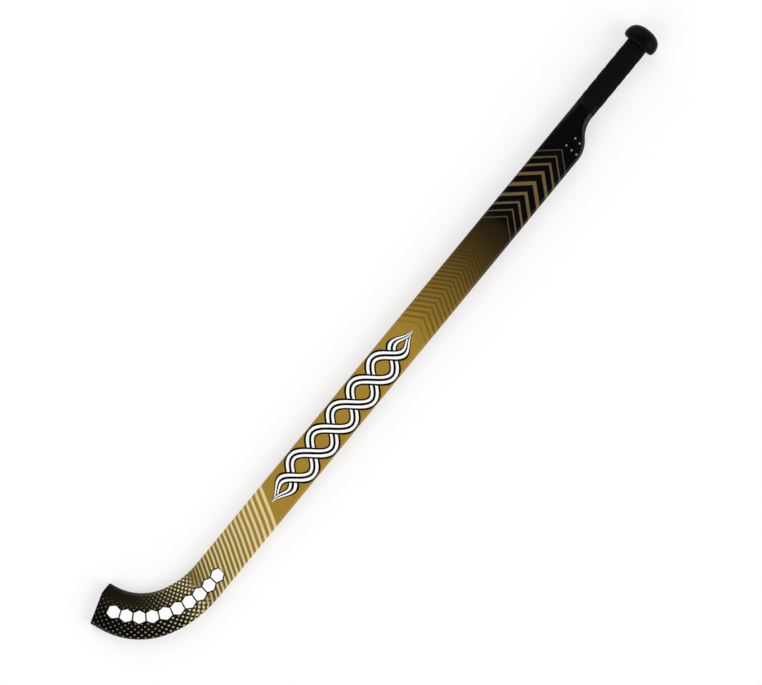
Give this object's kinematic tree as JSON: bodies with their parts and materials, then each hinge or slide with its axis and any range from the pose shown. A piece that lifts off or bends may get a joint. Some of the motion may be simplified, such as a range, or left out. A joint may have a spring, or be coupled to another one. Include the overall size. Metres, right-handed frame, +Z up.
{
  "type": "hockey goalie stick",
  "caption": "Goalkeeper's stick for rink hockey: a wide flat paddle that bends up into a hooked blade, stepped down at a shoulder to a short gripped handle with an oval knob.",
  "frame": {"origin": "on the surface that the stick lies on, under the middle of its bounding box", "axes": "+X along the shaft from the blade towards the knob, +Y across the shaft to the side that the toe curls to, +Z up, out of the face that the picture shows. The stick lies on its knob and the back of its blade, so its shaft rises by 0.64 degrees towards the knob."},
  "size_m": [1.0168, 0.1164, 0.0362],
  "materials": {
    "printed_laminate": "satin print over fibre laminate, gold along the paddle, dark brown and black at both ends",
    "bent_wood": "bare planed wood between glue lines",
    "grip": "matt, finely dimpled",
    "band": "satin",
    "knob_rubber": "matt moulded"
  },
  "bodies": {
    "root": {"core_ply_1": "bent_wood", "core_ply_2": "bent_wood", "core_ply_3": "bent_wood", "core_ply_4": "bent_wood", "core_ply_5": "bent_wood", "core_ply_6": "bent_wood", "core_ply_7": "bent_wood", "core_ply_8": "bent_wood", "core_ply_9": "bent_wood", "core_ply_10": "bent_wood", "core_ply_11": "bent_wood", "blade_wedge_1": "bent_wood", "blade_wedge_2": "bent_wood", "front_skin": "printed_laminate", "back_skin": "printed_laminate", "grip_end_band": "band", "grip_wrap": "grip", "end_knob": "knob_rubber"}
  },
  "joints": []
}
